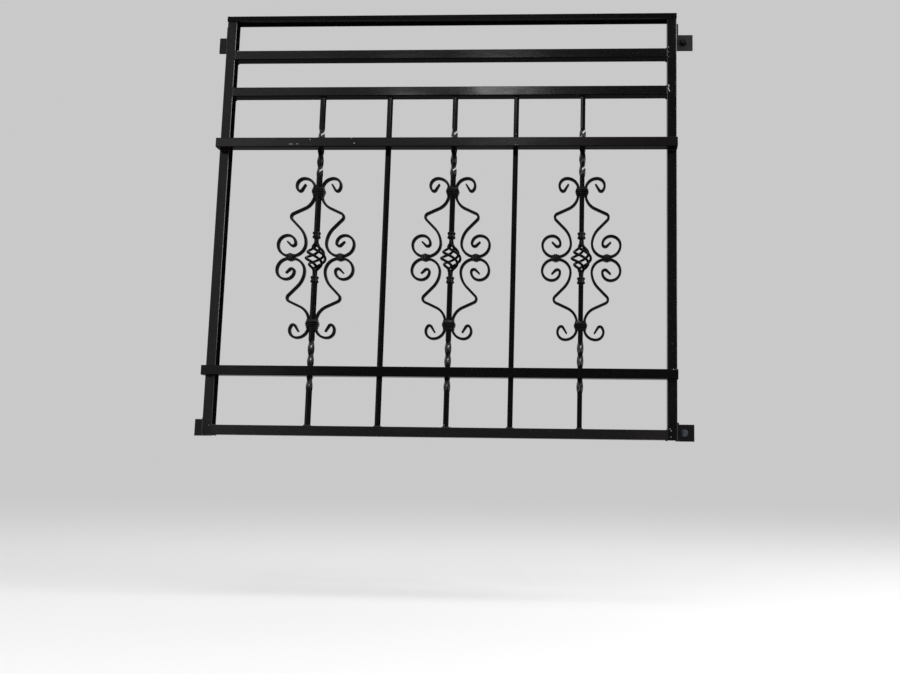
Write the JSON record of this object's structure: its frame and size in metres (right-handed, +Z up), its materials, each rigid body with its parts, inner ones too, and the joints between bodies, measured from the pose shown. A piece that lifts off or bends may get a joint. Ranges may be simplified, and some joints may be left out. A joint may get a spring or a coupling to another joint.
{
  "type": "juliet balcony",
  "caption": "Black welded steel balcony guard for an upper door: square-tube frame, cross bands and scroll balusters with twisted bars and baskets, held off the wall by bolted brackets.",
  "frame": {"origin": "on the wall face of the lower left bracket, midway between its bolt hole and its outer end, at half its height", "axes": "+X runs right along the wall as seen from the street, +Y runs from the street into the wall, +Z is up"},
  "size_m": [1.3191, 0.0954, 1.14],
  "materials": {
    "frame_paint": "satin",
    "bracket_paint": "satin",
    "bar_paint": "satin",
    "scroll_paint": "satin",
    "collar_paint": "satin"
  },
  "bodies": {
    "root": {"post_left": "frame_paint", "post_right": "frame_paint", "cap_rail": "frame_paint", "upper_rail": "frame_paint", "middle_rail": "frame_paint", "bottom_rail": "frame_paint", "upper_band": "frame_paint", "lower_band": "frame_paint", "upper_band_ends": "frame_paint", "lower_band_ends": "frame_paint", "bracket_upper_left": "bracket_paint", "bracket_upper_right": "bracket_paint", "bracket_lower_left": "bracket_paint", "bracket_lower_right": "bracket_paint", "plain_baluster_left": "bar_paint", "plain_baluster_right": "bar_paint", "left_bar_top": "bar_paint", "left_bar_foot": "bar_paint", "left_basket": "scroll_paint", "left_scrolls_up": "scroll_paint", "left_scrolls_down": "scroll_paint", "left_knuckles": "collar_paint", "left_waist_collars": "collar_paint", "left_side_collars": "collar_paint", "middle_bar_top": "bar_paint", "middle_bar_foot": "bar_paint", "middle_basket": "scroll_paint", "middle_scrolls_up": "scroll_paint", "middle_scrolls_down": "scroll_paint", "middle_knuckles": "collar_paint", "middle_waist_collars": "collar_paint", "middle_side_collars": "collar_paint", "right_bar_top": "bar_paint", "right_bar_foot": "bar_paint", "right_basket": "scroll_paint", "right_scrolls_up": "scroll_paint", "right_scrolls_down": "scroll_paint", "right_knuckles": "collar_paint", "right_waist_collars": "collar_paint", "right_side_collars": "collar_paint"}
  },
  "joints": []
}
